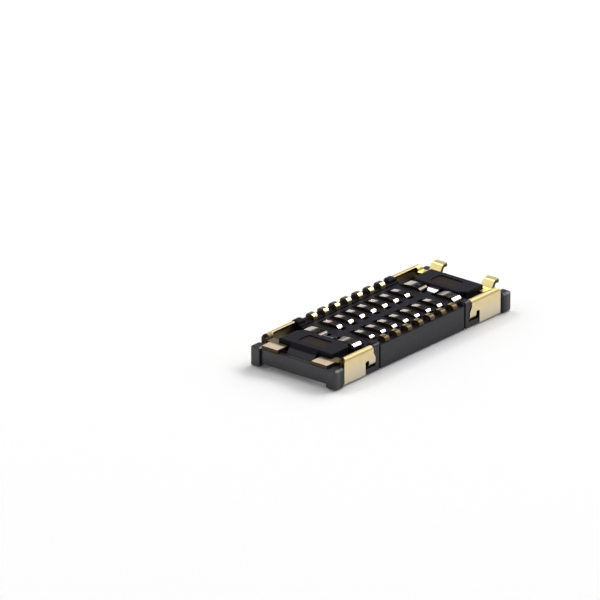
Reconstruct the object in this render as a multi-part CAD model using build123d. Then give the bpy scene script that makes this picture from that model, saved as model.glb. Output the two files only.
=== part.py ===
from build123d import *
import os

# Fine-pitch board-to-FPC stacking receptacle, lying on its mating face with its solder side up.
# X runs along the contact rows, Y across them, Z up towards the solder side. Millimetres.
# The origin is the middle of the plane that the corner pillars rest on.

# Contact rows
pitch = 0.35
contacts_per_row = 7

# Heights of the metal, the same for signal contacts and power terminals
solder_plane = 0.615
bar_shoulder = 0.53
bar_crown = 0.552
bump_height = 0.155
spring_tip_height = 0.06

# Signal contact strip, from its tail to its spring tip
contact_width = 0.13
contact_sheet = 0.06
contact_bend = 0.042
crown_bend = 0.5
tail_setback = 0.02
tail_drop = 0.09
riser_depth = 0.195
arch_foot = 0.045
arch_room = 0.12
leg_lean = 0.05
bump_reach = 0.075
tip_return = 0.055

# Housing, across the rows
half_width = 1.045
wall_setback = 0.015
wall_thickness = 0.33
island_half_width = 0.165
spring_slot_depth = 0.085
spring_rest = 0.03

# Housing, up the height
wall_foot = 0.03
floor_top = 0.485
floor_thickness = 0.13
wall_top = 0.51
island_foot = 0.06
channel_top = 0.33
ledge_top = 0.385

# Posts and grooves that end the rows of tails
post_length = 0.22
post_thickness = 0.17
post_top = 0.585
groove_width = 0.05
groove_depth = 0.025

# End blocks
block_margin = 0.05
block_gap = 0.32
block_top = 0.565
block_corner = 0.12
block_edge = 0.02
recess_length = 0.36
recess_width = 0.62
recess_depth = 0.02
recess_corner = 0.05
slope_half_width = 0.33
slope_foot = 0.37
slope_gap = 0.045

# Half-round ramps between the power springs
ramp_neck = 0.085
ramp_radius = 0.13
ramp_top = 0.54
ramp_foot = 0.47
island_overrun = 0.06

# End walls and corner pillars
end_wall_thickness = 0.12
end_wall_foot = 0.085
pillar_margin = 0.03
pillar_length = 0.28
pillar_width = 0.24
pillar_proud = 0.05
pillar_side_proud = 0.035
pillar_top = 0.42
pillar_rounding = 0.06
pillar_chamfer = 0.04
wall_edge = 0.02

# Corner power terminals
terminal_sheet = 0.07
terminal_bend = 0.05
roll_bend = 0.042
roll_across = 0.085
row_to_plate = 0.475
plate_length = 0.9
plate_foot = 0.04
plate_top = 0.572
plate_corner = 0.06
flange_reach = 0.1
tongue_width = 0.14
tongue_flare = 0.06
tongue_root = 0.33
flare_top = 0.43
slot_width = 0.104
slot_top = 0.31
power_spring_width = 0.24
power_arch_foot = 0.17
power_arch_room = 0.255
power_leg_lean = 0.055
power_leg_splice = 0.4
lip_top = 0.14
bridge_width = 0.2
tab_lap = 0.06
tab_inner = 0.42
foot_margin = 0.03
foot_width = 0.275
foot_root = 0.115
foot_run = 0.09
foot_flat = 0.13

# Clearances
slot_gap = 0.015
seat_gap = 0.01

# A size that reaches past everything, for cuts that go right through
beyond = 5

# Places worked out from the sizes above
row_half = pitch * (contacts_per_row - 1) / 2
wall_face = half_width - wall_setback
wall_inner = wall_face - wall_thickness
riser_place = wall_face - riser_depth
floor_foot = floor_top - floor_thickness
spring_top = island_half_width + spring_rest
plate_start = row_half + row_to_plate
plate_end = plate_start + plate_length
mid_end = plate_start - seat_gap
flare_start = plate_start - tongue_flare
tongue_end = plate_start + tongue_width
slot_end = tongue_end + slot_width
power_spring_start = tongue_end - power_spring_width
block_start = tongue_end + block_margin
tab_start = plate_end - tab_lap
block_end = tab_start - seat_gap
pillar_start = plate_end + pillar_margin
pillar_end = pillar_start + pillar_length
pillar_outer = half_width + pillar_side_proud
pillar_inner = pillar_outer - pillar_width
end_face = pillar_end - pillar_proud
end_wall_inner = end_face - end_wall_thickness
plate_middle = half_width - terminal_sheet / 2
plate_inner = half_width - terminal_sheet
roll_middle = plate_middle - roll_across
block_half_width = plate_inner - block_gap
channel_face = plate_inner - seat_gap
tab_middle = ledge_top + seat_gap + terminal_sheet / 2
tab_outer = pillar_inner - 2 * seat_gap


def cuboid(x0, x1, y0, y1, z0, z1):
    """A block between two corners."""
    return Pos((x0 + x1) / 2, (y0 + y1) / 2, (z0 + z1) / 2) * Box(x1 - x0, y1 - y0, z1 - z0)


def strip(points, sheet, width, bends, across):
    """A strip of sheet metal of one width, bent along a line of points."""
    path = FilletPolyline(*points, radius=bends)
    start = Plane(path @ 0, x_dir=across, z_dir=path % 0)
    return sweep(start * Rectangle(width, sheet), path)


def both_ends(shape):
    """A shape and its mirror image at the other end of the rows."""
    return [shape, mirror(shape, Plane.YZ)]


def both_sides(shape):
    """A shape and its mirror image at the other side of the rows."""
    return [shape, mirror(shape, Plane.XZ)]


def four_corners(shape):
    """A shape and its mirror images at the other three corners."""
    return [copy for half in both_ends(shape) for copy in both_sides(half)]


def spring_line(x, leg_top, sheet):
    """The line of a spring from the top of its outer leg: crowned bar, inner bend, bump and tip."""
    half = sheet / 2
    crown = (leg_top + spring_top) / 2
    bump = spring_top + bump_reach
    return [
        (x, leg_top, bar_shoulder - half),
        (x, crown, bar_crown - half),
        (x, spring_top, bar_shoulder - half),
        (x, bump, bump_height),
        (x, bump - tip_return, spring_tip_height),
    ]


def signal_contact():
    """One signal contact of the rear row, in the plane X = 0."""
    half = contact_sheet / 2
    tail_end = wall_face - tail_setback - half
    leg_foot = riser_place - arch_room - contact_sheet
    line = [
        (0, tail_end, solder_plane - tail_drop),
        (0, tail_end, solder_plane - half),
        (0, riser_place, solder_plane - half),
        (0, riser_place, arch_foot + half),
        (0, leg_foot, arch_foot + half),
    ]
    line += spring_line(0, leg_foot - leg_lean, contact_sheet)
    tight = [contact_bend] * 5
    bends = tight + [crown_bend] + [contact_bend] * 2
    return strip(line, contact_sheet, contact_width, bends, (1, 0, 0))


def power_spring():
    """The wide spring of a power terminal, which goes on from the tongue of its side plate."""
    half = terminal_sheet / 2
    tongue_middle = (flare_start + tongue_end) / 2
    spring_middle = power_spring_start + power_spring_width / 2
    leg_foot = plate_middle - power_arch_room - terminal_sheet
    leg_top = leg_foot - power_leg_lean
    arch_middle = power_arch_foot + half
    leg_bottom = Vector(0, leg_foot, arch_middle)
    splice = leg_bottom + (Vector(0, leg_top, bar_shoulder - half) - leg_bottom) * power_leg_splice
    tongue_line = [
        (tongue_middle, plate_middle, tongue_root),
        (tongue_middle, plate_middle, arch_middle),
        (tongue_middle, leg_foot, arch_middle),
        (tongue_middle, splice.Y, splice.Z),
    ]
    width = tongue_end - flare_start
    tongue = strip(tongue_line, terminal_sheet, width, terminal_bend, (1, 0, 0))
    upper_line = [(spring_middle, splice.Y, splice.Z)]
    upper_line += spring_line(spring_middle, leg_top, terminal_sheet)
    bends = [terminal_bend, crown_bend, terminal_bend, terminal_bend]
    upper = strip(upper_line, terminal_sheet, power_spring_width, bends, (1, 0, 0))
    return tongue + upper


def side_plate():
    """The side of a power terminal, rolled over at its top, with the slot that frees its tongue."""
    middle = (plate_start + plate_end) / 2
    roll_top = plate_top - terminal_sheet / 2
    line = [
        (middle, plate_middle, plate_foot),
        (middle, plate_middle, roll_top),
        (middle, roll_middle, roll_top),
        (middle, roll_middle, tab_middle),
    ]
    plate = strip(line, terminal_sheet, plate_length, roll_bend, (1, 0, 0))
    plate -= cuboid(-beyond, beyond, 0, half_width - flange_reach, 0, beyond)
    plate -= cuboid(tongue_end, slot_end, 0, beyond, 0, slot_top)
    plate -= cuboid(plate_start, slot_end, 0, beyond, 0, power_arch_foot + terminal_sheet)
    inside = cuboid(-beyond, beyond, 0, plate_inner, 0, plate_top - terminal_sheet)
    outline = Polyline(
        (plate_start, flare_top),
        (flare_start, tongue_root),
        (plate_start, tongue_root),
        close=True,
    )
    flare = Pos(0, half_width, 0) * extrude(Plane.XZ * make_face(outline), terminal_sheet)
    return plate - inside + flare


def end_cut():
    """What takes the corner off the rolled top of a side plate at its end."""
    outline = Polyline(
        (plate_end - plate_corner, plate_top),
        (plate_end, plate_top - plate_corner),
        (beyond, plate_top - plate_corner),
        (beyond, beyond),
        (plate_end - plate_corner, beyond),
        close=True,
    )
    return extrude(Plane.XZ * make_face(outline), beyond, both=True)


def bridge():
    """The band that goes on from the rolled top of the side plate, down to the tab."""
    middle = plate_end - bridge_width / 2
    roll_top = plate_top - terminal_sheet / 2
    line = [
        (middle, plate_middle, tongue_root),
        (middle, plate_middle, roll_top),
        (middle, roll_middle, roll_top),
        (middle, roll_middle, tab_middle),
        (middle, block_half_width + seat_gap, tab_middle),
    ]
    return strip(line, terminal_sheet, bridge_width, roll_bend, (1, 0, 0))


def tab(outer_end):
    """The flat tab of a power terminal, between the end block and the end wall, out to one X."""
    low = tab_middle - terminal_sheet / 2
    high = low + terminal_sheet
    return cuboid(tab_start, outer_end, tab_inner, tab_outer, low, high)


def raised_foot():
    """The foot that climbs from the tab to the solder plane."""
    half = terminal_sheet / 2
    middle = tab_outer - foot_margin - foot_width / 2
    slope_start = tab_start + foot_root
    line = [
        (tab_start, middle, tab_middle),
        (slope_start, middle, tab_middle),
        (slope_start + foot_run, middle, solder_plane - half),
        (slope_start + foot_run + foot_flat, middle, solder_plane - half),
    ]
    return strip(line, terminal_sheet, foot_width, terminal_bend, (0, 1, 0))


def power_terminal(foot):
    """A corner power terminal of the rear right corner, with a raised foot or a flat tab."""
    terminal = side_plate() + power_spring() + bridge() - end_cut()
    if foot:
        return terminal + tab(tab_start + foot_root) + raised_foot()
    return terminal + tab(end_face)


def housing_walls():
    """Long walls, end walls, corner pillars and the posts that end the rows of tails."""
    mid = cuboid(-mid_end, mid_end, wall_inner, wall_face, wall_foot, floor_top)
    crest_inner = riser_place - contact_sheet / 2 - slot_gap
    crest = cuboid(-mid_end, mid_end, crest_inner, wall_face, floor_top, wall_top)
    post_start = mid_end - post_length
    post = cuboid(post_start, mid_end, wall_face - post_thickness, wall_face, floor_top, post_top)
    post = chamfer(post.edges().group_by(Axis.Z)[-1], wall_edge)
    groove_face = wall_face - groove_depth
    groove = cuboid(post_start, post_start + groove_width, groove_face, beyond, -beyond, beyond)
    lip = cuboid(mid_end, slot_end - seat_gap, wall_inner, wall_face, wall_foot, lip_top)
    channel = cuboid(mid_end, end_wall_inner, wall_inner, channel_face, wall_foot, channel_top)
    end_wall = cuboid(end_wall_inner, end_face, -channel_face, channel_face, end_wall_foot, ledge_top)
    square = cuboid(pillar_start, pillar_end, pillar_inner, pillar_outer, 0, pillar_top)
    ends = square.edges().group_by(Axis.Z)
    outer_corners = square.edges().filter_by(Axis.Z).group_by(Axis.Y)[-1]
    rounded = fillet(outer_corners, pillar_rounding)
    pillar = rounded & chamfer(ends[0] + ends[-1], pillar_chamfer)
    long_walls = Part() + both_sides(mid + crest) + four_corners(post) - four_corners(groove)
    return long_walls + four_corners(lip + channel) + both_ends(end_wall) + four_corners(pillar)


def end_block():
    """The raised block at one end, with its shallow recess and the slope at its outer side."""
    block = cuboid(block_start, block_end, -block_half_width, block_half_width, floor_foot, block_top)
    inner_corners = block.edges().filter_by(Axis.Z).group_by(Axis.X)[0]
    block = chamfer(inner_corners, block_corner)
    block = chamfer(block.edges().group_by(Axis.Z)[-1], block_edge)
    middle = (block_start + block_end) / 2
    dent = extrude(Rectangle(recess_length, recess_width), beyond)
    dent = chamfer(dent.edges().filter_by(Axis.Z), recess_corner)
    block -= Pos(middle, 0, block_top - recess_depth) * dent
    slope_end = end_wall_inner - slope_gap
    outline = Polyline(
        (block_end - block_edge * 2, wall_foot),
        (block_end - block_edge * 2, block_top - block_edge),
        (block_end, block_top - block_edge),
        (slope_end, slope_foot),
        (slope_end, wall_foot),
        close=True,
    )
    slope = extrude(Plane.XZ * make_face(outline), slope_half_width, both=True)
    return block + slope


def ramp():
    """The half-round ramp that stands before the end block between the two power springs."""
    flat_edge = block_start - ramp_neck
    lowest = flat_edge - ramp_radius
    boss = Pos(flat_edge, 0, floor_foot) * extrude(Circle(ramp_radius), ramp_top - floor_foot)
    boss += cuboid(flat_edge, block_start, -ramp_radius, ramp_radius, floor_foot, ramp_top)
    above = Polyline(
        (flat_edge, ramp_top),
        (lowest, ramp_foot),
        (lowest, beyond),
        (flat_edge, beyond),
        close=True,
    )
    return boss - extrude(Plane.XZ * make_face(above), beyond, both=True)


def contact_openings():
    """What is cut from the housing for one signal contact of the rear row."""
    across = contact_width / 2 + slot_gap
    half = contact_sheet / 2 + slot_gap
    riser = cuboid(-across, across, riser_place - half, riser_place + half, -beyond, beyond)
    window = cuboid(-across, across, island_half_width - spring_slot_depth, wall_inner, -beyond, beyond)
    arch_top = arch_foot + contact_sheet + slot_gap
    arch = cuboid(-across, across, wall_inner, riser_place, -beyond, arch_top)
    return riser + window + arch


def terminal_openings():
    """What is cut from the housing for one power terminal of the rear right corner."""
    start = power_spring_start - slot_gap
    end = tongue_end + slot_gap
    leg_face = plate_inner - power_arch_room
    deep_end = island_half_width - spring_slot_depth
    arch_low = power_arch_foot - slot_gap
    arch_high = power_arch_foot + terminal_sheet + slot_gap
    window = cuboid(start, end, deep_end, leg_face + slot_gap, arch_low, beyond)
    slot = cuboid(start, end, deep_end, wall_inner, -beyond, beyond)
    arch = cuboid(flare_start - slot_gap, end, leg_face, beyond, arch_low, arch_high)
    outline = Polyline(
        (plate_start, flare_top + slot_gap),
        (flare_start - seat_gap, tongue_root + slot_gap),
        (flare_start - seat_gap, lip_top),
        (plate_start, lip_top),
        close=True,
    )
    pocket = extrude(Plane.XZ * make_face(outline), -beyond)
    pocket -= cuboid(-beyond, beyond, 0, channel_face, -beyond, beyond)
    return window + slot + arch + pocket


def housing():
    """The moulded housing."""
    island_end = block_start + island_overrun
    floor = cuboid(-block_start, block_start, -wall_inner, wall_inner, floor_foot, floor_top)
    island = cuboid(-island_end, island_end, -island_half_width, island_half_width, island_foot, floor_foot)
    body = floor + island + housing_walls() + both_ends(end_block())
    contact_cut = contact_openings()
    for x in contact_places():
        for cut in both_sides(Pos(x, 0, 0) * contact_cut):
            body -= cut
    for cut in four_corners(terminal_openings()):
        body -= cut
    return body + both_ends(ramp())


def contact_places():
    """The X of each contact in a row."""
    return [pitch * index - row_half for index in range(contacts_per_row)]


def parts():
    """Every piece by name."""
    pieces = {"housing": housing()}
    contact = signal_contact()
    for index, x in enumerate(contact_places(), start=1):
        pieces[f"signal_contact_rear_{index}"] = Pos(x, 0, 0) * contact
        pieces[f"signal_contact_front_{index}"] = Pos(x, 0, 0) * mirror(contact, Plane.XZ)
    right = power_terminal(foot=True)
    left = mirror(power_terminal(foot=False), Plane.YZ)
    pieces["power_terminal_rear_right"] = right
    pieces["power_terminal_front_right"] = mirror(right, Plane.XZ)
    pieces["power_terminal_rear_left"] = left
    pieces["power_terminal_front_left"] = mirror(left, Plane.XZ)
    return pieces


os.makedirs("parts", exist_ok=True)
for name, piece in parts().items():
    solids = piece.solids()
    print(name, len(solids), round(sum(solid.volume for solid in solids), 5))
    export_step(piece, f"parts/{name}.step")
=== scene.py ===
import math

import bmesh
import bpy
from mathutils import Matrix, Vector


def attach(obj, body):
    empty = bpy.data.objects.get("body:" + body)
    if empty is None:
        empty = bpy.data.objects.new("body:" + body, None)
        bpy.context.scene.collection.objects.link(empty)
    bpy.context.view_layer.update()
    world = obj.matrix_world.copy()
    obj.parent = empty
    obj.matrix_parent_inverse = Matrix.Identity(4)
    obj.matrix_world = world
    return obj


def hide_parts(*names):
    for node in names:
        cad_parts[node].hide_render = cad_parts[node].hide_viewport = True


# The looks of a fine-pitch stacking receptacle for a flexible circuit, lying on its mating face.
# X runs along the contact rows, Y across them, Z up towards the solder side.

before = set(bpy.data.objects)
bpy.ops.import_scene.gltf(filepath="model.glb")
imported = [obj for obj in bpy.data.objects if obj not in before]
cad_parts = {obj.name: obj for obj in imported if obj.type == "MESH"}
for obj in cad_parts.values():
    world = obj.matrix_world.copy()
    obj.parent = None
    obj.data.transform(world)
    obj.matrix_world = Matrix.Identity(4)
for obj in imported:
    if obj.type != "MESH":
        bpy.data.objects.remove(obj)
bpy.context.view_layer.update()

MM = 0.001
MM_PER_METRE = 1000

# Sizes of the model, in millimetres, as the frame has them
PITCH = 0.35
PER_ROW = 7
HALF_WIDTH = 1.045
WALL_FACE = 1.03
SOLDER_PLANE = 0.615
BAR_SHOULDER = 0.53
BAR_CROWN = 0.552
BUMP_HEIGHT = 0.155
TIP_HEIGHT = 0.06
BUMP_REACH = 0.075
TIP_RETURN = 0.055
SPRING_TOP = 0.195
CROWN_BEND = 0.5

# Signal contacts
CONTACT_WIDTH = 0.13
CONTACT_SHEET = 0.06
CONTACT_BEND = 0.042
TAIL_SETBACK = 0.02
TAIL_DROP = 0.09
RISER = 0.835
ARCH_FOOT = 0.045
ARCH_ROOM = 0.12
LEG_LEAN = 0.05

# Power terminals
TERMINAL_SHEET = 0.07
TERMINAL_BEND = 0.05
PLATE_START = 1.525
PLATE_END = 2.425
PLATE_FOOT = 0.04
PLATE_TOP = 0.572
PLATE_CORNER = 0.06
ROLL_BEND = 0.042
ROLL_ACROSS = 0.085
FLANGE_REACH = 0.1
TONGUE_END = 1.665
FLARE = 0.06
FLARE_TOP = 0.43
FLARE_FOOT = 0.33
SLOT_END = 1.769
SLOT_TOP = 0.31
SPRING_WIDTH = 0.24
SPRING_SHOULDER = 0.04
POWER_ARCH_FOOT = 0.17
POWER_ARCH_ROOM = 0.255
POWER_LEAN = 0.055
BRIDGE_WIDTH = 0.2
SPLICE = 0.4
BRIDGE_INNER = 0.665
TAB_MIDDLE = 0.43
TAB_START = 2.365
TAB_INNER = 0.42
TAB_OUTER = 0.82
END_FACE = 2.685
FOOT_MARGIN = 0.03
FOOT_WIDTH = 0.275
FOOT_ROOT = 0.115
FOOT_RUN = 0.09
FOOT_FLAT = 0.13
PLATE_MIDDLE = HALF_WIDTH - TERMINAL_SHEET / 2
ARCH_MIDDLE = POWER_ARCH_FOOT + TERMINAL_SHEET / 2
ROOF_MIDDLE = PLATE_TOP - TERMINAL_SHEET / 2

# Roundings of the corners of the flat terminal
TIGHT = 0.015
PLAIN = 0.02
WIDE = 0.03

# How finely the meshes are made
RIM = 0.004
RIM_SEGMENTS = 2
MOULD_EDGE = 0.007
MOULD_SEGMENTS = 1
MOULD_SHARP = math.radians(35)
FLAT_WITHIN = math.radians(1)
BEND_STEP = math.radians(7)
FEWEST_STEPS = 2
CORNER_STEPS = 6
SHARP = math.radians(18)
SEARCH_STEPS = 2000
PAST_CORNER = 10
FACE_LEVEL = 0.95
FACE_WEIGHT = 80
JOIN_WITHIN = 1e-5
FRAME_JOIN_WITHIN = 1e-4
CUT_WITHIN = 1e-6


def turn_between(before, after):
    """The angle from one direction to the next."""
    return math.atan2(before.x * after.y - before.y * after.x, before.dot(after))


class Fold:
    """A line of straight runs and arcs in a plane, which flat sheet is bent along."""

    def __init__(self, points, radii):
        self.parts = []
        self.length = 0
        points = [Vector(p) for p in points]
        start = points[0]
        for last, here, following, radius in zip(points, points[1:], points[2:], radii):
            before = (here - last).normalized()
            after = (following - here).normalized()
            turn = turn_between(before, after)
            cut = radius * math.tan(abs(turn) / 2)
            self.add_line(start, here - before * cut)
            self.add_arc(here - before * cut, before, radius, turn)
            start = here + after * cut
        self.add_line(start, points[-1])

    def add_line(self, start, end):
        run = (end - start).length
        self.parts.append(("line", self.length, run, start, (end - start).normalized()))
        self.length += run

    def add_arc(self, start, direction, radius, turn):
        run = radius * abs(turn)
        self.parts.append(("arc", self.length, run, start, direction, radius, turn))
        self.length += run

    def at(self, s):
        """The point and the direction at a distance along the line."""
        part = self.parts[0]
        for candidate in self.parts:
            if s >= candidate[1]:
                part = candidate
        along = s - part[1]
        start, direction = part[3], part[4]
        if part[0] == "line":
            return start + direction * along, direction
        radius, turn = part[5], part[6]
        side = 1 if turn > 0 else -1
        normal = Vector((-direction.y, direction.x)) * side
        angle = along / radius
        point = start + direction * radius * math.sin(angle) + normal * radius * (1 - math.cos(angle))
        heading = direction * math.cos(angle) + normal * math.sin(angle)
        return point, heading

    def cuts(self):
        """The distances at which the sheet has to be divided to bend smoothly."""
        found = []
        for part in self.parts:
            if part[0] == "arc":
                count = max(FEWEST_STEPS, math.ceil(abs(part[6]) / BEND_STEP))
                found += [part[1] + part[2] * k / count for k in range(count + 1)]
        return found

    def distance_at(self, axis, value, low=0.0):
        """The distance along the line, past a lower limit, at which a coordinate first reaches a value."""
        last = self.at(low)[0][axis] - value
        for k in range(1, SEARCH_STEPS + 1):
            s = low + (self.length - low) * k / SEARCH_STEPS
            here = self.at(s)[0][axis] - value
            if here == 0 or (here > 0) != (last > 0):
                return s
            last = here
        raise ValueError("the line never gets there")


def rounded(corners):
    """An outline from corners that are each an X, a Y and a rounding."""
    made = []
    places = [Vector(corner[:2]) for corner in corners]
    for index, (here, corner) in enumerate(zip(places, corners)):
        before = (here - places[index - 1]).normalized()
        after = (places[(index + 1) % len(places)] - here).normalized()
        fold = Fold([here - before * PAST_CORNER, here, here + after * PAST_CORNER], [corner[2]])
        arc = fold.parts[1]
        for k in range(CORNER_STEPS + 1):
            made.append(fold.at(arc[1] + arc[2] * k / CORNER_STEPS)[0])
    return made


def break_edges(mesh, edges, width, segments):
    """Takes the sharpness off some edges of a mesh."""
    bmesh.ops.bevel(
        mesh,
        geom=edges,
        offset=width,
        offset_type="OFFSET",
        segments=segments,
        profile=0.5,
        affect="EDGES",
        clamp_overlap=True,
    )


def flat_sheet(outline, sheet):
    """A flat sheet of metal: its outline in XY, its thickness about Z = 0, its cut edges in material 1."""
    mesh = bmesh.new()
    verts = [mesh.verts.new((p[0], p[1], -sheet / 2)) for p in outline]
    face = mesh.faces.new(verts)
    face.normal_update()
    if face.normal.z > 0:
        bmesh.ops.reverse_faces(mesh, faces=[face])
    result = bmesh.ops.extrude_face_region(mesh, geom=[face])
    top = [g for g in result["geom"] if isinstance(g, bmesh.types.BMVert)]
    bmesh.ops.translate(mesh, verts=top, vec=(0, 0, sheet))
    bmesh.ops.recalc_face_normals(mesh, faces=mesh.faces)
    mesh.edges.ensure_lookup_table()
    rims = [e for e in mesh.edges if abs(e.verts[0].co.z - e.verts[1].co.z) < sheet / 2]
    break_edges(mesh, rims, RIM, RIM_SEGMENTS)
    for face in mesh.faces:
        face.normal_update()
        face.material_index = 1 if abs(face.normal.z) < FACE_LEVEL else 0
    return mesh


def divide(mesh, axis, places):
    """Divides a flat sheet by planes across one axis."""
    normal = Vector((0, 0, 0))
    normal[axis] = 1
    for place in places:
        point = Vector((0, 0, 0))
        point[axis] = place
        geometry = mesh.verts[:] + mesh.edges[:] + mesh.faces[:]
        bmesh.ops.bisect_plane(mesh, geom=geometry, dist=CUT_WITHIN, plane_co=point, plane_no=normal)


def finish_piece(name, mesh, materials, node):
    """Turns a bmesh in millimetres into a finished piece that stands for a node of the frame."""
    bmesh.ops.remove_doubles(mesh, verts=mesh.verts[:], dist=JOIN_WITHIN)
    bmesh.ops.recalc_face_normals(mesh, faces=mesh.faces)
    bmesh.ops.triangulate(mesh, faces=[f for f in mesh.faces if len(f.verts) > 4])
    data = bpy.data.meshes.new(name)
    mesh.to_mesh(data)
    mesh.free()
    data.transform(Matrix.Scale(MM, 4))
    piece = bpy.data.objects.new(name, data)
    bpy.context.scene.collection.objects.link(piece)
    for polygon in data.polygons:
        polygon.use_smooth = True
    data.set_sharp_from_angle(angle=SHARP)
    weighted = piece.modifiers.new("weighted", "WEIGHTED_NORMAL")
    weighted.keep_sharp = True
    weighted.weight = FACE_WEIGHT
    for material in materials:
        data.materials.append(material)
    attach(piece, "root")
    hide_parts(node)
    return piece


def spring_points(leg_top, sheet):
    """The line of a spring from the top of its outer leg: crowned bar, inner bend, bump and tip."""
    half = sheet / 2
    crown = (leg_top + SPRING_TOP) / 2
    bump = SPRING_TOP + BUMP_REACH
    return [
        (leg_top, BAR_SHOULDER - half),
        (crown, BAR_CROWN - half),
        (SPRING_TOP, BAR_SHOULDER - half),
        (bump, BUMP_HEIGHT),
        (bump - TIP_RETURN, TIP_HEIGHT),
    ]


def contact_fold():
    """The line of a signal contact from its solder tail to its spring's tip."""
    half = CONTACT_SHEET / 2
    tail_end = WALL_FACE - TAIL_SETBACK - half
    leg_foot = RISER - ARCH_ROOM - CONTACT_SHEET
    points = [
        (tail_end, SOLDER_PLANE - TAIL_DROP),
        (tail_end, SOLDER_PLANE - half),
        (RISER, SOLDER_PLANE - half),
        (RISER, ARCH_FOOT + half),
        (leg_foot, ARCH_FOOT + half),
    ]
    points += spring_points(leg_foot - LEG_LEAN, CONTACT_SHEET)
    return Fold(points, [CONTACT_BEND] * 5 + [CROWN_BEND] + [CONTACT_BEND] * 2)


def contact_piece(name, x, side, materials, node):
    """One signal contact at an X, on the side of +Y or -Y."""
    fold = contact_fold()
    half = CONTACT_WIDTH / 2
    outline = [(-half, 0), (half, 0), (half, fold.length), (-half, fold.length)]
    mesh = flat_sheet(outline, CONTACT_SHEET)
    divide(mesh, 1, fold.cuts())
    for v in mesh.verts:
        point, heading = fold.at(v.co.y)
        y = point.x + heading.y * v.co.z
        z = point.y - heading.x * v.co.z
        v.co = Vector((x + v.co.x, side * y, z))
    return finish_piece(name, mesh, materials, node)


def terminal_fold():
    """The line of a terminal from its tab over the rolled top of the plate to the spring's tip."""
    roll = PLATE_MIDDLE - ROLL_ACROSS
    leg_foot = PLATE_MIDDLE - POWER_ARCH_ROOM - TERMINAL_SHEET
    points = [
        (TAB_INNER, TAB_MIDDLE),
        (roll, TAB_MIDDLE),
        (roll, ROOF_MIDDLE),
        (PLATE_MIDDLE, ROOF_MIDDLE),
        (PLATE_MIDDLE, ARCH_MIDDLE),
        (leg_foot, ARCH_MIDDLE),
    ]
    points += spring_points(leg_foot - POWER_LEAN, TERMINAL_SHEET)
    bend = TERMINAL_BEND
    return Fold(points, [ROLL_BEND] * 3 + [bend] * 3 + [CROWN_BEND] + [bend] * 2)


def foot_fold():
    """The line of a raised foot from the start of the tab up to the solder plane."""
    start = TAB_START + FOOT_ROOT
    end = start + FOOT_RUN
    top = SOLDER_PLANE - TERMINAL_SHEET / 2
    points = [(TAB_START, TAB_MIDDLE), (start, TAB_MIDDLE), (end, top), (end + FOOT_FLAT, top)]
    return Fold(points, [TERMINAL_BEND] * 2)


class TerminalPlaces:
    """The distances along a terminal's line at which its outline turns."""

    def __init__(self, fold):
        self.tip = fold.length
        self.tab_outer = fold.distance_at(0, TAB_OUTER)
        self.bridge_inner = fold.distance_at(0, BRIDGE_INNER)
        self.inner_leg = fold.distance_at(1, (TAB_MIDDLE + ROOF_MIDDLE) / 2)
        self.flange = fold.distance_at(0, HALF_WIDTH - FLANGE_REACH)
        self.roof_end = fold.distance_at(0, PLATE_MIDDLE - ROLL_BEND)
        self.plate = fold.distance_at(1, ROOF_MIDDLE - ROLL_BEND, self.roof_end)
        self.plate_z = fold.at(self.plate)[0].y
        self.plate_end = self.down(ARCH_MIDDLE + TERMINAL_BEND)
        arch = fold.distance_at(0, PLATE_MIDDLE - POWER_ARCH_ROOM / 2, self.plate)
        leg_height = BAR_SHOULDER - TERMINAL_SHEET / 2 - ARCH_MIDDLE
        self.splice = fold.distance_at(1, ARCH_MIDDLE + leg_height * SPLICE, arch)

    def down(self, z):
        """The distance at a height of the side plate."""
        return self.plate + self.plate_z - z


def foot_corners(fold, places, rise):
    """The corners of a tab with a raised foot, laid flat."""
    middle = TAB_OUTER - FOOT_MARGIN - FOOT_WIDTH / 2
    inner = fold.distance_at(0, middle - FOOT_WIDTH / 2)
    outer = fold.distance_at(0, middle + FOOT_WIDTH / 2)
    root = TAB_START + FOOT_ROOT
    tip = TAB_START + rise.length
    return [
        (root, 0, PLAIN),
        (root, inner, TIGHT),
        (tip, inner, PLAIN),
        (tip, outer, PLAIN),
        (root, outer, TIGHT),
        (root, places.tab_outer, PLAIN),
    ]


def terminal_corners(fold, places, rise):
    """The corners of a terminal laid flat: an X, a distance along its line and a rounding each."""
    flared = PLATE_START - FLARE
    bridge_start = PLATE_END - BRIDGE_WIDTH
    corner_start = PLATE_END - PLATE_CORNER
    spring_start = TONGUE_END - SPRING_WIDTH
    corners = [
        (flared, places.splice, PLAIN),
        (flared, places.down(FLARE_FOOT), WIDE),
        (PLATE_START, places.down(FLARE_TOP), PLAIN),
        (PLATE_START, places.flange, TIGHT),
        (bridge_start, places.flange, PLAIN),
        (bridge_start, places.bridge_inner, TIGHT),
        (TAB_START, places.bridge_inner, PLAIN),
        (TAB_START, 0, PLAIN),
    ]
    if rise:
        corners += foot_corners(fold, places, rise)
    else:
        corners += [(END_FACE, 0, PLAIN), (END_FACE, places.tab_outer, PLAIN)]
    corners += [
        (PLATE_END, places.tab_outer, TIGHT),
        (PLATE_END, places.inner_leg, PLAIN),
        (corner_start, places.roof_end - ROLL_ACROSS / 2, PLAIN),
        (corner_start, places.roof_end, PLAIN),
        (PLATE_END, places.plate, PLAIN),
        (PLATE_END, places.down(PLATE_FOOT), TIGHT),
        (SLOT_END, places.down(PLATE_FOOT), TIGHT),
        (SLOT_END, places.down(SLOT_TOP), WIDE),
        (TONGUE_END, places.down(SLOT_TOP), WIDE),
        (TONGUE_END, places.tip, TIGHT),
        (spring_start, places.tip, TIGHT),
        (spring_start, places.splice + SPRING_SHOULDER, PLAIN),
    ]
    return corners


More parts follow.
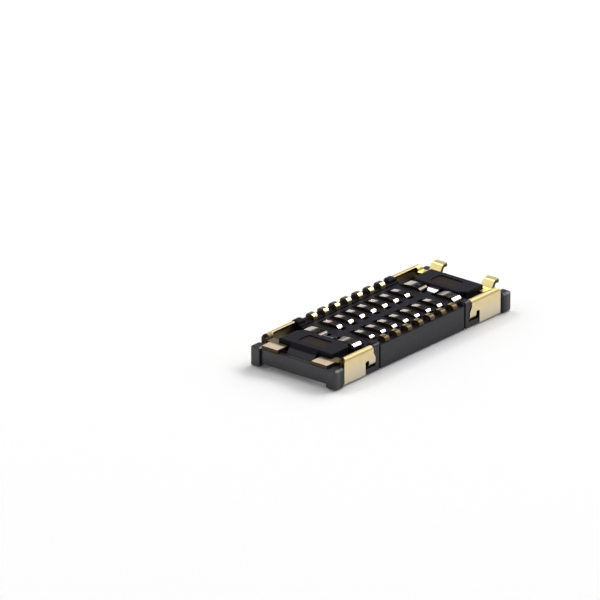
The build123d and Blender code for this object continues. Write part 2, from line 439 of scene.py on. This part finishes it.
def terminal_point(flat, fold, places, rise):
    """Where a point of the flat terminal comes to lie once it is bent, in the rear right corner."""
    x, s, height = flat
    if x > (TONGUE_END + SLOT_END) / 2 and s > places.plate_end:
        y = PLATE_MIDDLE - height
        z = places.plate_z - (s - places.plate)
    else:
        point, heading = fold.at(s)
        y = point.x + heading.y * height
        z = point.y - heading.x * height
    if rise and x > TAB_START and s < places.tab_outer:
        point, heading = rise.at(x - TAB_START)
        lift = z - TAB_MIDDLE
        x = point.x - heading.y * lift
        z = point.y + heading.x * lift
    return x, y, z


def terminal_piece(name, end, side, materials, node):
    """A power terminal at the +X or -X end, on the side of +Y or -Y; those at +X have a raised foot."""
    fold = terminal_fold()
    places = TerminalPlaces(fold)
    rise = foot_fold() if end > 0 else None
    mesh = flat_sheet(rounded(terminal_corners(fold, places, rise)), TERMINAL_SHEET)
    divide(mesh, 1, fold.cuts())
    if rise:
        divide(mesh, 0, [TAB_START + place for place in rise.cuts()])
    for v in mesh.verts:
        x, y, z = terminal_point(v.co, fold, places, rise)
        v.co = Vector((end * x, side * y, z))
    return finish_piece(name, mesh, materials, node)


def housing_piece(material):
    """The moulding, from the frame's own surface, with its sharp edges broken."""
    mesh = bmesh.new()
    mesh.from_mesh(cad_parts["housing"].data)
    bmesh.ops.scale(mesh, vec=(MM_PER_METRE,) * 3, verts=mesh.verts)
    bmesh.ops.remove_doubles(mesh, verts=mesh.verts[:], dist=FRAME_JOIN_WITHIN)
    bmesh.ops.dissolve_limit(
        mesh,
        angle_limit=FLAT_WITHIN,
        use_dissolve_boundaries=False,
        verts=mesh.verts[:],
        edges=mesh.edges[:],
    )
    mesh.edges.ensure_lookup_table()
    inner = [e for e in mesh.edges if len(e.link_faces) == 2]
    break_edges(mesh, [e for e in inner if e.calc_face_angle() > MOULD_SHARP], MOULD_EDGE, MOULD_SEGMENTS)
    return finish_piece("housing_moulding", mesh, [material], "housing")


# Noise patterns: scale per millimetre, detail, and the stretch along X, Y and Z
EVEN = (1, 1, 1)
SPECKLE = (45, 4, EVEN)
FLOW_MARKS = (9, 3, EVEN)
MOULD_GRAIN = (60, 5, EVEN)
TINT = (6, 4, EVEN)
DRAWING_LINES = (22, 4, (1, 1, 4))
PLATING_GRAIN = (40, 4, (1, 1, 3))
TEAR_LINES = (30, 4, EVEN)
TEAR_GRAIN = (70, 4, EVEN)

# The span of a noise that is spread over a range
NOISE_LOW = 0.3
NOISE_HIGH = 0.7


def shader(name):
    """A new material, its nodes and its main shader."""
    material = bpy.data.materials.new(name)
    material.use_nodes = True
    tree = material.node_tree
    return material, tree, tree.nodes["Principled BSDF"]


def calculate(tree, operation, *values):
    """A sum of sockets and plain numbers."""
    node = tree.nodes.new("ShaderNodeMath")
    node.operation = operation
    for socket, value in zip(node.inputs, values):
        if isinstance(value, (int, float)):
            socket.default_value = value
        else:
            tree.links.new(value, socket)
    return node.outputs[0]


def object_mm(tree):
    """Object coordinates in millimetres."""
    place = tree.nodes.new("ShaderNodeTexCoord")
    scale = tree.nodes.new("ShaderNodeVectorMath")
    scale.operation = "SCALE"
    scale.inputs["Scale"].default_value = MM_PER_METRE
    tree.links.new(place.outputs["Object"], scale.inputs[0])
    return scale.outputs["Vector"]


def axes_mm(tree):
    """Object coordinates in millimetres: whole, X, X without its sign, Y without its sign, and Z."""
    place = object_mm(tree)
    split = tree.nodes.new("ShaderNodeSeparateXYZ")
    tree.links.new(place, split.inputs[0])
    along = calculate(tree, "ABSOLUTE", split.outputs["X"])
    away = calculate(tree, "ABSOLUTE", split.outputs["Y"])
    return place, split.outputs["X"], along, away, split.outputs["Z"]


def noise(tree, coordinates, pattern):
    """A noise of one of the patterns above."""
    scale, detail, stretch = pattern
    mapping = tree.nodes.new("ShaderNodeMapping")
    mapping.inputs["Scale"].default_value = stretch
    tree.links.new(coordinates, mapping.inputs["Vector"])
    node = tree.nodes.new("ShaderNodeTexNoise")
    node.inputs["Scale"].default_value = scale
    node.inputs["Detail"].default_value = detail
    tree.links.new(mapping.outputs["Vector"], node.inputs["Vector"])
    return node.outputs["Fac"]


def ramp(tree, factor, first, second):
    """A run of colour between two, each a place and a colour."""
    node = tree.nodes.new("ShaderNodeValToRGB")
    for element, (place, colour) in zip(node.color_ramp.elements, (first, second)):
        element.position = place
        element.color = (*colour, 1)
    tree.links.new(factor, node.inputs["Fac"])
    return node.outputs["Color"]


def spread(tree, factor, low, high):
    """A noise spread over a range of values."""
    node = tree.nodes.new("ShaderNodeMapRange")
    settings = {"From Min": NOISE_LOW, "From Max": NOISE_HIGH, "To Min": low, "To Max": high}
    for key, value in settings.items():
        node.inputs[key].default_value = value
    tree.links.new(factor, node.inputs["Value"])
    return node.outputs["Result"]


def step(tree, value, edge, low=0, high=1):
    """A smooth step between two levels, over an edge that is a start and an end."""
    node = tree.nodes.new("ShaderNodeMapRange")
    node.interpolation_type = "SMOOTHSTEP"
    settings = {"From Min": edge[0], "From Max": edge[1], "To Min": low, "To Max": high}
    for key, number in settings.items():
        node.inputs[key].default_value = number
    tree.links.new(value, node.inputs["Value"])
    return node.outputs["Result"]


def zone(tree, *limits):
    """A mask that is 1 where each value is past its edge, and 0 where one of them is short of it."""
    masks = [step(tree, value, edge) for value, edge in limits]
    result = masks[0]
    for mask in masks[1:]:
        result = calculate(tree, "MULTIPLY", result, mask)
    return result


def blend(tree, factor, first, second):
    """A colour between a socket and a plain colour."""
    node = tree.nodes.new("ShaderNodeMix")
    node.data_type = "RGBA"
    tree.links.new(factor, node.inputs["Factor"])
    colours = {i.name: i for i in node.inputs if i.type == "RGBA"}
    tree.links.new(first, colours["A"])
    colours["B"].default_value = (*second, 1)
    return [o for o in node.outputs if o.type == "RGBA"][0]


def bump(tree, principled, height, distance):
    """A relief of a depth in millimetres; the node that makes it, for its strength."""
    node = tree.nodes.new("ShaderNodeBump")
    node.inputs["Distance"].default_value = distance * MM
    tree.links.new(height, node.inputs["Height"])
    tree.links.new(node.outputs["Normal"], principled.inputs["Normal"])
    return node


# The plastic: colours, roughness, specular levels, and the edges of its zones in millimetres
PLASTIC_DARK = (0.35, (0.012, 0.011, 0.015))
PLASTIC_LIGHT = (0.7, (0.021, 0.019, 0.026))
DENT_BROWN = (0.03, 0.022, 0.017)
PLASTIC_ROUGH = (0.27, 0.35)
PLASTIC_SPECULAR = 0.35
RAMP_SMOOTHER = 0.17
RAMP_GLOSS = 0.65
DECK_ROUGHER = 0.2
DECK_DULLER = 0.3
END_GLOSS = 0.3
MOULD_RELIEF = 0.002
MOULD_RELIEF_STRENGTH = 0.2
DENT_START = (1.85, 1.88)
DENT_END = (2.22, 2.19)
DENT_SIDE = (0.32, 0.29)
DENT_FLOOR = (0.53, 0.54)
DENT_RIM = (0.56, 0.55)
RAMP_START = (1.47, 1.49)
RAMP_END = (1.66, 1.65)
RAMP_SIDE = (0.16, 0.14)
DECK_LEVEL = (0.45, 0.47)
DECK_END = (2.44, 2.42)
DECK_SIDE = (1.0, 0.98)
END_WALLS = (2.55, 2.62)
END_TOPS = (0.44, 0.4)


def plastic():
    """Near-black moulded plastic: flow marks, a brown dent in each block, dull deck and smooth ramps."""
    material, tree, principled = shader("moulded_plastic")
    place, _, along, away, z = axes_mm(tree)
    dents = zone(
        tree,
        (along, DENT_START),
        (along, DENT_END),
        (away, DENT_SIDE),
        (z, DENT_FLOOR),
        (z, DENT_RIM),
    )
    ramps = zone(tree, (along, RAMP_START), (along, RAMP_END), (away, RAMP_SIDE))
    deck = zone(tree, (z, DECK_LEVEL), (along, DECK_END), (away, DECK_SIDE))
    deck = calculate(tree, "MULTIPLY", deck, calculate(tree, "SUBTRACT", 1, ramps))
    ends = zone(tree, (along, END_WALLS), (z, END_TOPS))
    colour = ramp(tree, noise(tree, place, SPECKLE), PLASTIC_DARK, PLASTIC_LIGHT)
    colour = blend(tree, dents, colour, DENT_BROWN)
    tree.links.new(colour, principled.inputs["Base Color"])
    rough = spread(tree, noise(tree, place, FLOW_MARKS), *PLASTIC_ROUGH)
    rough = calculate(tree, "MULTIPLY_ADD", ramps, -RAMP_SMOOTHER, rough)
    rough = calculate(tree, "MULTIPLY_ADD", deck, DECK_ROUGHER, rough)
    tree.links.new(rough, principled.inputs["Roughness"])
    gloss = calculate(tree, "MULTIPLY_ADD", ramps, RAMP_GLOSS, PLASTIC_SPECULAR)
    gloss = calculate(tree, "MULTIPLY_ADD", deck, -DECK_DULLER, gloss)
    gloss = calculate(tree, "MULTIPLY_ADD", ends, END_GLOSS, gloss)
    specular = principled.inputs["Specular IOR Level"]
    specular.default_value = PLASTIC_SPECULAR
    tree.links.new(gloss, specular)
    relief = bump(tree, principled, noise(tree, place, MOULD_GRAIN), MOULD_RELIEF)
    relief.inputs["Strength"].default_value = MOULD_RELIEF_STRENGTH
    return material


# The plating: its colours where the sheet is soldered or bare, the painted light, shade and reflection on
# some zones, and the edges of those zones
# Paler and greyer lower down on the metal: painted light that offsets the shade at the foot of the plates
PLATE_FOOT_PAINTED_LIGHT = (0.74, 0.66, 0.5)
SPRING_GREY = (0.8, 0.73, 0.7)
# Painted shade: near-black on the inner ends of the power springs
SPRING_END_PAINTED_SHADE = (0.07, 0.06, 0.055)
# Painted shade: a darker bronze copy of the plating on the rolled plate tops, dimming their highlight
ROLL_PAINTED_SHADE = (0.5, 0.4, 0.2)
# Painted reflection: a pale beige copy of the plating on the flat tab at -X
TAB_PAINTED_REFLECTION = (0.74, 0.6, 0.46)
# Painted shade: dark brown on the neck of each -X tab, next to the block
NECK_PAINTED_SHADE = (0.2, 0.15, 0.09)
FOOT_GOLD = (0.95, 0.8, 0.36)
# Painted shade: dark brown on the solder-tail ends, gold standing in shade
TAIL_PAINTED_SHADE = (0.11, 0.08, 0.04)
TAB_ROUGH = 0.5
TAIL_ROUGH = 0.45
ROLL_ROUGH = 0.55
TINT_DEEP = 0.3
TINT_PALE = 0.7
PLATING_RELIEF = 0.001
PLATING_RELIEF_STRENGTH = 0.12
SPRING_RELIEF_LESS = 0.1
# Heights over which the painted light at the foot of the plates fades in
PLATE_FOOT_LIGHT_FADE = (0.5, 0.12)
SPRING_SIDE = (0.78, 0.7)
SPRING_END = (1.9, 1.8)
# Where the painted shade on the power spring ends lies
SHADED_SPRING_START = (1.38, 1.42)
SHADED_SPRING_SIDE = (0.38, 0.25)
ROLL_LEVEL = (0.5, 0.53)
ROLL_SIDE = (0.86, 0.9)
ROLL_START = (1.4, 1.5)
TAB_X = (-2.2, -2.25)
FOOT_X = (2.2, 2.25)
TAB_SIDE = (0.97, 0.94)
NECK_END = (2.5, 2.42)
TAIL_SIDE = (0.88, 0.94)
TAIL_END = (1.4, 1.3)


def plating(name, pale, deep, rough_range, spring_smoother):
    """Plated sheet: gold where it is soldered, grey on the springs, paler lower down as painted light
    against the shade at the foot of the plates, painted shade on the power spring ends, the rolled plate
    tops, each -X tab's neck and the solder-tail ends, and a painted reflection on the flat -X tab.
    """
    material, tree, principled = shader(name)
    principled.inputs["Metallic"].default_value = 1
    place, x, along, away, z = axes_mm(tree)
    springs = zone(tree, (away, SPRING_SIDE), (along, SPRING_END))
    # Painted shade on the inner ends of the power springs
    shaded_spring_ends = zone(tree, (along, SHADED_SPRING_START), (along, SPRING_END), (away, SHADED_SPRING_SIDE))
    # Painted shade on the rolled plate tops, which are also rougher
    shaded_roll_tops = zone(tree, (z, ROLL_LEVEL), (away, ROLL_SIDE), (along, ROLL_START))
    # Painted reflection on the flat tab at -X, which is also rougher
    tab_reflection_mask = zone(tree, (x, TAB_X), (away, TAB_SIDE))
    # Painted shade on the neck of each -X tab
    shaded_necks = zone(tree, (x, TAB_X), (away, TAB_SIDE), (along, NECK_END))
    feet = zone(tree, (x, FOOT_X), (away, TAB_SIDE))
    # Painted shade on the solder-tail ends of both rows
    shaded_tails = zone(tree, (away, TAIL_SIDE), (along, TAIL_END))
    colour = ramp(tree, noise(tree, place, TINT), (TINT_DEEP, deep), (TINT_PALE, pale))
    # Painted light: paler lower down, fully so below 0.12 mm, against the shade at the foot of the plates
    colour = blend(tree, step(tree, z, PLATE_FOOT_LIGHT_FADE), colour, PLATE_FOOT_PAINTED_LIGHT)
    # Zone colours: real finishes, and painted shade, light and reflection
    finishes_and_painted_light = [
        (springs, SPRING_GREY),
        (shaded_spring_ends, SPRING_END_PAINTED_SHADE),
        (shaded_roll_tops, ROLL_PAINTED_SHADE),
        (tab_reflection_mask, TAB_PAINTED_REFLECTION),
        (shaded_necks, NECK_PAINTED_SHADE),
        (feet, FOOT_GOLD),
        (shaded_tails, TAIL_PAINTED_SHADE),
    ]
    for mask, zone_colour in finishes_and_painted_light:
        colour = blend(tree, mask, colour, zone_colour)
    tree.links.new(colour, principled.inputs["Base Color"])
    rough = spread(tree, noise(tree, place, DRAWING_LINES), *rough_range)
    rough = calculate(tree, "MULTIPLY_ADD", springs, -spring_smoother, rough)
    for mask, level in ((tab_reflection_mask, TAB_ROUGH), (shaded_tails, TAIL_ROUGH), (shaded_roll_tops, ROLL_ROUGH)):
        rough = calculate(tree, "MAXIMUM", rough, calculate(tree, "MULTIPLY", mask, level))
    tree.links.new(rough, principled.inputs["Roughness"])
    relief = bump(tree, principled, noise(tree, place, PLATING_GRAIN), PLATING_RELIEF)
    strength = calculate(tree, "MULTIPLY_ADD", springs, -SPRING_RELIEF_LESS, PLATING_RELIEF_STRENGTH)
    tree.links.new(strength, relief.inputs["Strength"])
    return material


# The cut edge of the sheet
CUT_DARK = (0.35, (0.05, 0.035, 0.022))
CUT_PALE = (0.7, (0.13, 0.09, 0.055))
CUT_ROUGH = (0.4, 0.6)
CUT_RELIEF = 0.002
CUT_RELIEF_STRENGTH = 0.3


def sheared():
    """The bare cut edge of the sheet: dull copper alloy with tear lines."""
    material, tree, principled = shader("sheared_edge")
    principled.inputs["Metallic"].default_value = 1
    place = object_mm(tree)
    tear = noise(tree, place, TEAR_LINES)
    tree.links.new(ramp(tree, tear, CUT_DARK, CUT_PALE), principled.inputs["Base Color"])
    tree.links.new(spread(tree, tear, *CUT_ROUGH), principled.inputs["Roughness"])
    relief = bump(tree, principled, noise(tree, place, TEAR_GRAIN), CUT_RELIEF)
    relief.inputs["Strength"].default_value = CUT_RELIEF_STRENGTH
    return material


# The pieces
edge_metal = sheared()
contact_metal = plating(
    "contact_plating",
    pale=(0.86, 0.68, 0.36),
    deep=(0.76, 0.58, 0.28),
    rough_range=(0.2, 0.28),
    spring_smoother=0.1,
)
terminal_metal = plating(
    "terminal_plating",
    pale=(0.81, 0.66, 0.36),
    deep=(0.75, 0.61, 0.33),
    rough_range=(0.34, 0.42),
    spring_smoother=0.22,
)
housing_piece(plastic())
for row, side in (("rear", 1), ("front", -1)):
    for index in range(PER_ROW):
        x = PITCH * (index - (PER_ROW - 1) / 2)
        node = f"signal_contact_{row}_{index + 1}"
        contact_piece(node + "_strip", x, side, [contact_metal, edge_metal], node)
    for end_name, end in (("right", 1), ("left", -1)):
        node = f"power_terminal_{row}_{end_name}"
        terminal_piece(node + "_sheet", end, side, [terminal_metal, edge_metal], node)

# The floor
FLOOR_HALF = 0.3
FLOOR_PALE = (0.95, 0.95, 0.95)
FLOOR_ROUGH = 0.9
FLOOR_SPECULAR = 0.2
FLOOR_LIFT = 0.06


def floor_material():
    """Pale, and lifted to white for the camera and for reflections, with the shadow kept."""
    material, tree, principled = shader("floor_white")
    principled.inputs["Base Color"].default_value = (*FLOOR_PALE, 1)
    principled.inputs["Roughness"].default_value = FLOOR_ROUGH
    principled.inputs["Specular IOR Level"].default_value = FLOOR_SPECULAR
    path = tree.nodes.new("ShaderNodeLightPath").outputs
    seen = calculate(tree, "MAXIMUM", path["Is Camera Ray"], path["Is Glossy Ray"])
    lift = calculate(tree, "MULTIPLY", seen, FLOOR_LIFT)
    principled.inputs["Emission Color"].default_value = (1, 1, 1, 1)
    tree.links.new(lift, principled.inputs["Emission Strength"])
    return material


def make_floor():
    mesh = bmesh.new()
    bmesh.ops.create_grid(mesh, x_segments=1, y_segments=1, size=FLOOR_HALF)
    data = bpy.data.meshes.new("floor")
    mesh.to_mesh(data)
    mesh.free()
    data.materials.append(floor_material())
    floor = bpy.data.objects.new("floor", data)
    bpy.context.scene.collection.objects.link(floor)


make_floor()

# The studio: each place in the sky is an azimuth from +X, an elevation, and an inner and an outer
# angle of its soft edge, all in degrees; a soft box also has a level
FILL = 0.08
HORIZON = 0.8
HORIZON_EDGE = (0.27, 0.37)
HORIZON_SIDE = (40, 0, 60, 95)
DARK_PATCH = (36, 31, 8, 13)
DARK_LEVEL = 0.12
SOFT_BOXES = [
    (20, 62, 14, 24, 2.2),
    (6, 36, 12, 20, 5.5),
    (-5, 45, 12, 22, 3.0),
    (-38, 24, 12, 22, 1.8),
    (138, 30, 12, 26, 1.2),
    (95, 38, 14, 26, 0.9),
]
LAMP_DISTANCE = 0.15
LAMP_RADIUS = math.tan(math.radians(6.5)) * LAMP_DISTANCE
# Azimuth, elevation and brightness of the two lamps
LAMPS = {"key": (-20, 40, 12), "rim": (82, 53, 12)}


def toward(azimuth, elevation):
    """The unit vector towards an azimuth from +X and an elevation, both in degrees."""
    turn = math.radians(azimuth)
    rise = math.radians(elevation)
    return Vector((math.cos(rise) * math.cos(turn), math.cos(rise) * math.sin(turn), math.sin(rise)))


def patch(tree, direction, place, low, high):
    """A round patch of the sky with a soft edge: high inside, low outside."""
    azimuth, elevation, inner, outer = place
    node = tree.nodes.new("ShaderNodeVectorMath")
    node.operation = "DOT_PRODUCT"
    node.inputs[1].default_value = toward(azimuth, elevation)
    tree.links.new(direction, node.inputs[0])
    edge = (math.cos(math.radians(outer)), math.cos(math.radians(inner)))
    return step(tree, node.outputs["Value"], edge, low, high)


def make_sky():
    """A bright horizon behind, soft boxes above it, a dark patch between them and a low fill."""
    world = bpy.data.worlds.new("studio")
    bpy.context.scene.world = world
    world.use_nodes = True
    tree = world.node_tree
    direction = tree.nodes.new("ShaderNodeTexCoord").outputs["Generated"]
    split = tree.nodes.new("ShaderNodeSeparateXYZ")
    tree.links.new(direction, split.inputs[0])
    low_sky = step(tree, split.outputs["Z"], HORIZON_EDGE, HORIZON, 0)
    level = calculate(tree, "MULTIPLY", low_sky, patch(tree, direction, HORIZON_SIDE, 0, 1))
    level = calculate(tree, "MAXIMUM", level, FILL)
    for *place, bright in SOFT_BOXES:
        level = calculate(tree, "MAXIMUM", level, patch(tree, direction, place, 0, bright))
    level = calculate(tree, "MULTIPLY", level, patch(tree, direction, DARK_PATCH, 1, DARK_LEVEL))
    white = tree.nodes.new("ShaderNodeMix")
    white.inputs["B"].default_value = 1
    path = tree.nodes.new("ShaderNodeLightPath")
    tree.links.new(path.outputs["Is Camera Ray"], white.inputs["Factor"])
    tree.links.new(level, white.inputs["A"])
    background = tree.nodes["Background"]
    background.inputs["Color"].default_value = (1, 1, 1, 1)
    tree.links.new(white.outputs["Result"], background.inputs["Strength"])


def make_lamp(name, azimuth, elevation, radiance):
    """A small round lamp that shines at the middle of the part."""
    data = bpy.data.lights.new(name, "AREA")
    data.shape = "DISK"
    data.size = 2 * LAMP_RADIUS
    data.energy = radiance * math.pi * math.pi * LAMP_RADIUS**2
    lamp = bpy.data.objects.new(name, data)
    lamp.location = toward(azimuth, elevation) * LAMP_DISTANCE
    lamp.rotation_mode = "QUATERNION"
    lamp.rotation_quaternion = lamp.location.to_track_quat("Z", "Y")
    bpy.context.scene.collection.objects.link(lamp)


make_sky()
for name, settings in LAMPS.items():
    make_lamp(name, *settings)

# The camera: the photograph's angle and framing, with a long lens
TARGET = Vector((0.426, 2.424, 0.036)) * MM
BACK = Vector((-0.7147, -0.5907, 0.3745)).normalized()
DISTANCE = 0.2
FIELD = 11.853 * MM
SENSOR = 36
NEAREST = 0.001
FURTHEST = 2


def make_camera():
    data = bpy.data.cameras.new("camera")
    data.sensor_width = SENSOR
    data.lens = SENSOR * DISTANCE / FIELD
    data.clip_start = NEAREST
    data.clip_end = FURTHEST
    camera = bpy.data.objects.new("camera", data)
    camera.location = TARGET + BACK * DISTANCE
    camera.rotation_mode = "QUATERNION"
    camera.rotation_quaternion = BACK.to_track_quat("Z", "Y")
    bpy.context.scene.collection.objects.link(camera)
    bpy.context.scene.camera = camera


make_camera()
bpy.context.scene.view_settings.view_transform = "Standard"
